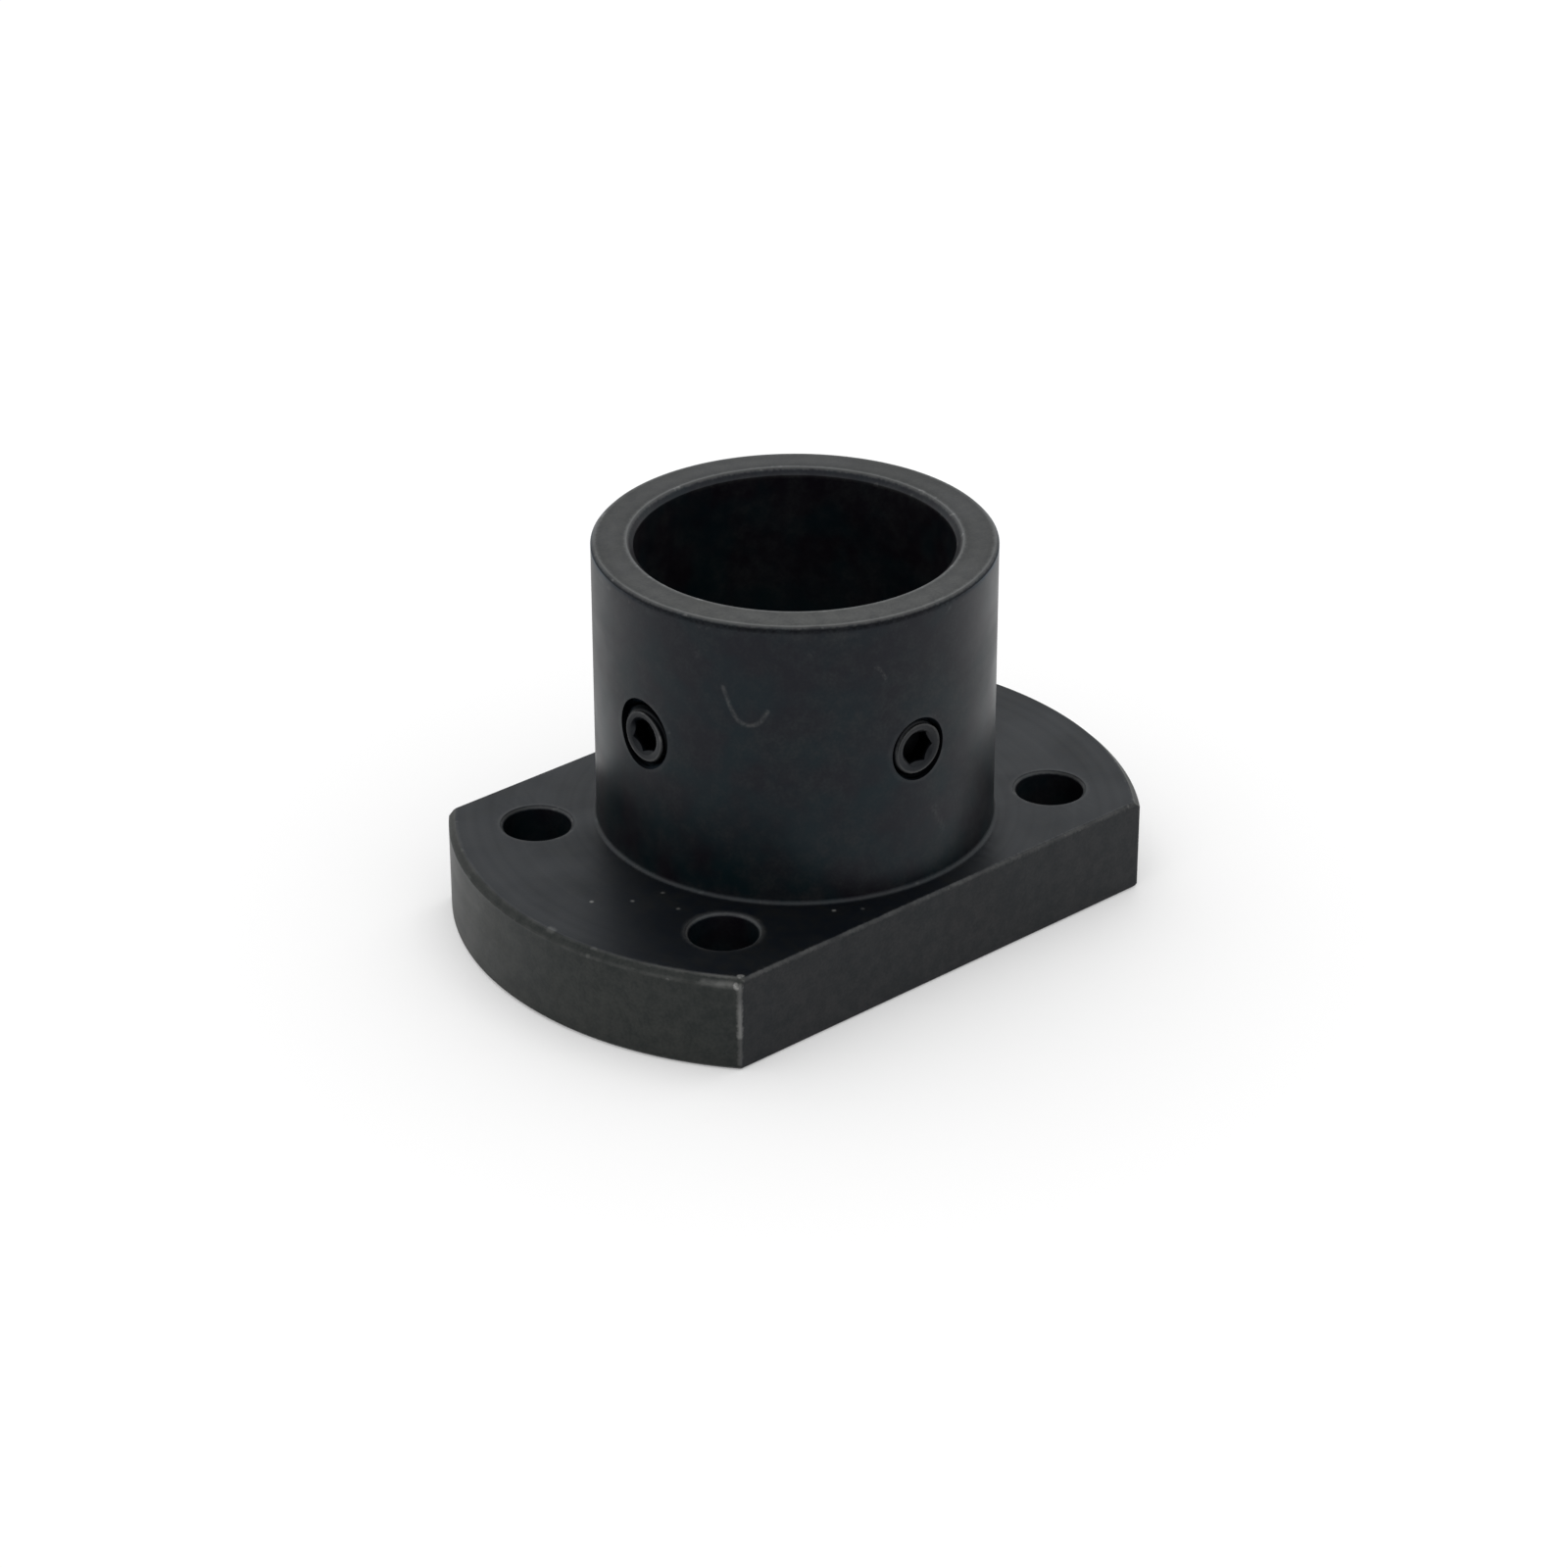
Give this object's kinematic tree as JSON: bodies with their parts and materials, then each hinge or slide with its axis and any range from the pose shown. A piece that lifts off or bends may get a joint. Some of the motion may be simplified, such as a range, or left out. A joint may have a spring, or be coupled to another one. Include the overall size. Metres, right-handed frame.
{
  "type": "shaft support",
  "caption": "Flanged shaft support: a round sleeve on a flange with two flats, bolt holes at its corners, and set screws through the sleeve wall that clamp the shaft.",
  "frame": {"origin": "centre of the bore on the mounting face, which is the underside of the flange", "axes": "+Z along the bore, from the mounting face to the sleeve's rim; +X along the flange's two flats; one set screw faces -Y and the other -X, each a few degrees off"},
  "size_m": [0.056, 0.036, 0.032],
  "materials": {
    "blackened_steel": "black oxide over turned steel, worn bright on some edges",
    "screw_steel": "black oxide on hardened alloy steel"
  },
  "bodies": {
    "support": {"support_body": "blackened_steel"},
    "left_screw": {"set_screw_left": "screw_steel"},
    "right_screw": {"set_screw_right": "screw_steel"}
  },
  "joints": [
    {"name": "left_screw_travel", "type": "slide", "parent": "support", "child": "left_screw", "axis": [-0.9998, -0.0175, 0], "range_m": [-0.0008, 0.0016]},
    {"name": "right_screw_travel", "type": "slide", "parent": "support", "child": "right_screw", "axis": [-0.0819, -0.9966, 0], "range_m": [-0.0008, 0.0016]}
  ]
}
